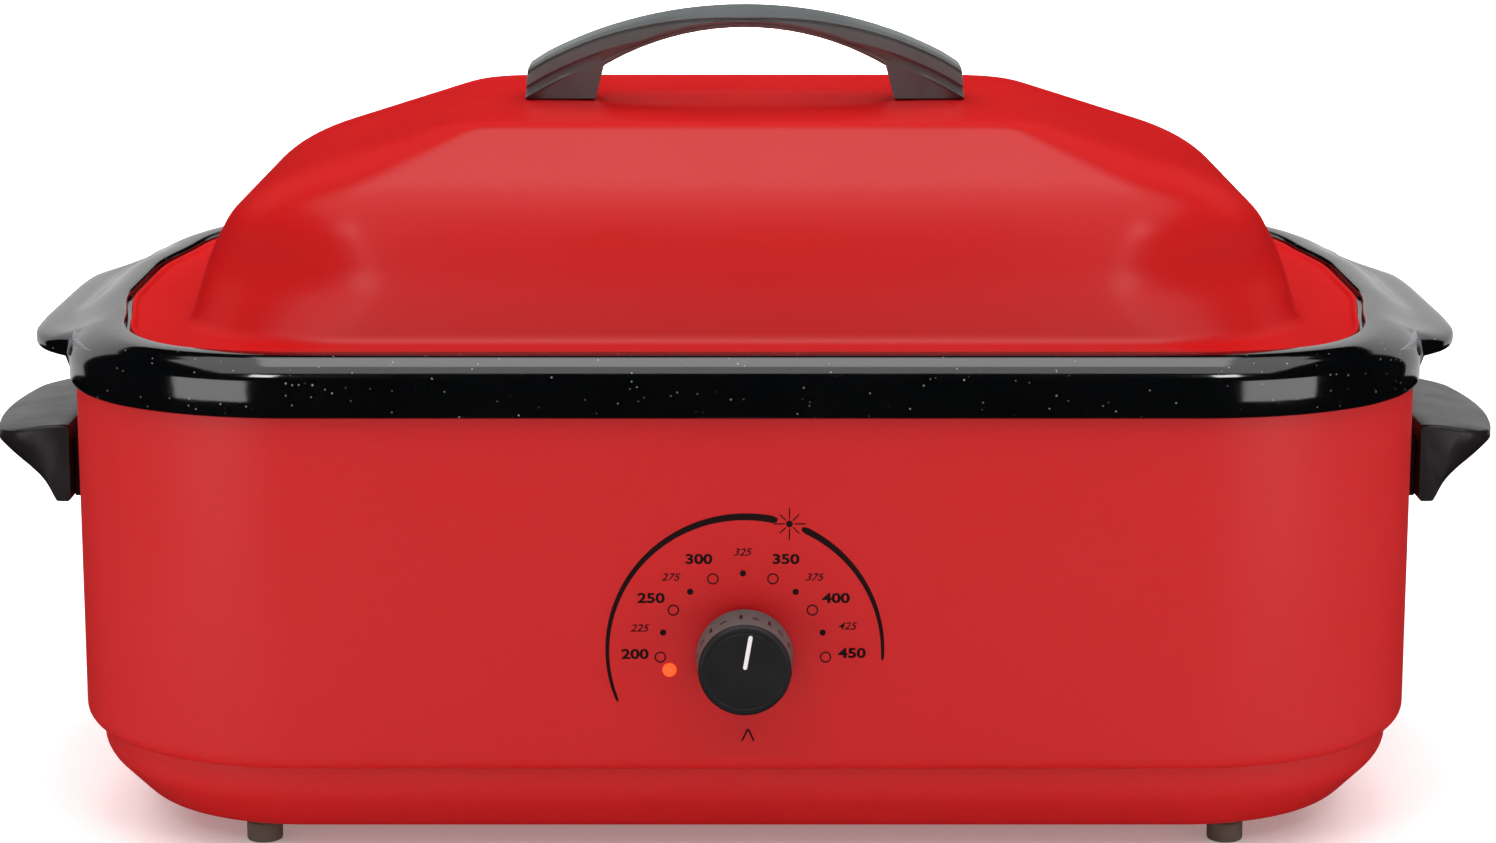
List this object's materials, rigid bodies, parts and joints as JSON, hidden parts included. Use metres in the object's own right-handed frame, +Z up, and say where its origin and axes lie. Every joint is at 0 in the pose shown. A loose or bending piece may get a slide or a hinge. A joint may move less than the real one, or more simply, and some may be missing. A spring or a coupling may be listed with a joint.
{
  "type": "electric roaster oven",
  "caption": "Counter-top roaster oven: red enamelled body with front thermostat knob, black drop-in cookwell with lifting tabs, red domed lift-off lid with arched handle, and side handles.",
  "frame": {"origin": "on the table, under the middle of the oven's overall footprint, from the knob's face to the back of the rim and over both side handles", "axes": "+X to the right of a person facing the knob, +Y towards the back, +Z up"},
  "size_m": [0.609, 0.3944, 0.306],
  "materials": {
    "body_enamel": "semi-gloss red enamel on steel",
    "lid_enamel": "gloss red porcelain enamel on steel",
    "cookwell_enamel": "gloss black porcelain enamel with fine white specks",
    "handle_plastic": "satin black phenolic",
    "knob_plastic": "satin black phenolic",
    "skirt_plastic": "dark grey, marked",
    "pointer_white": "white",
    "lamp_amber": "clear orange-red",
    "foot_rubber": "grey-brown, matt",
    "aluminised_steel": "satin aluminised steel",
    "band_steel": "heat-darkened steel",
    "ceramic": "unglazed ceramic",
    "lead_sleeve": "braided glass sleeve",
    "glass_wool": "compressed glass wool",
    "plated_steel": "zinc-plated steel",
    "thermostat_resin": "brown moulding resin",
    "gland_nylon": "black nylon",
    "rack_chrome": "bright chrome wire"
  },
  "bodies": {
    "oven": {"outer_shell": "body_enamel", "back_panel": "body_enamel", "base_pan": "body_enamel", "side_handle_left": "handle_plastic", "side_handle_right": "handle_plastic", "handle_spacer_left": "handle_plastic", "handle_spacer_right": "handle_plastic", "lamp_lens": "lamp_amber", "foot_front_left": "foot_rubber", "foot_front_right": "foot_rubber", "foot_back_left": "foot_rubber", "foot_back_right": "foot_rubber", "liner": "aluminised_steel", "heat_shield": "aluminised_steel", "heater_band_lower": "band_steel", "heater_band_upper": "band_steel", "heater_terminal_lower": "ceramic", "heater_terminal_upper": "ceramic", "heater_leads": "lead_sleeve", "insulation_blanket": "glass_wool", "side_handle_screws": "plated_steel", "clamp_studs": "plated_steel", "clamp_sleeves": "plated_steel", "clamp_nuts": "plated_steel", "thermostat_plate": "plated_steel", "thermostat_nut": "plated_steel", "thermostat_body": "thermostat_resin", "lamp_housing": "thermostat_resin", "cord_gland": "gland_nylon"},
    "cookwell": {"cookwell": "cookwell_enamel"},
    "lid": {"lid": "lid_enamel", "lid_handle": "handle_plastic", "lid_handle_screws": "plated_steel", "lid_handle_washers": "plated_steel"},
    "rack": {"rack": "rack_chrome"},
    "knob": {"knob": "knob_plastic", "knob_skirt": "skirt_plastic", "knob_pointer": "pointer_white", "thermostat_shaft": "plated_steel", "knob_clip": "plated_steel"}
  },
  "joints": [
    {"name": "cookwell_lift", "type": "slide", "parent": "oven", "child": "cookwell", "axis": [0, 0, 1], "range_m": [0, 0.18]},
    {"name": "lid_lift", "type": "slide", "parent": "cookwell", "child": "lid", "axis": [0, 0, 1], "range_m": [0, 0.2]},
    {"name": "rack_lift", "type": "slide", "parent": "cookwell", "child": "rack", "axis": [0, 0, 1], "range_m": [0, 0.1]},
    {"name": "thermostat_turn", "type": "hinge", "parent": "oven", "child": "knob", "pos_m": [0, -0.17475, 0.083], "axis": [0, 1, 0], "range_deg": [-145, 82]}
  ]
}
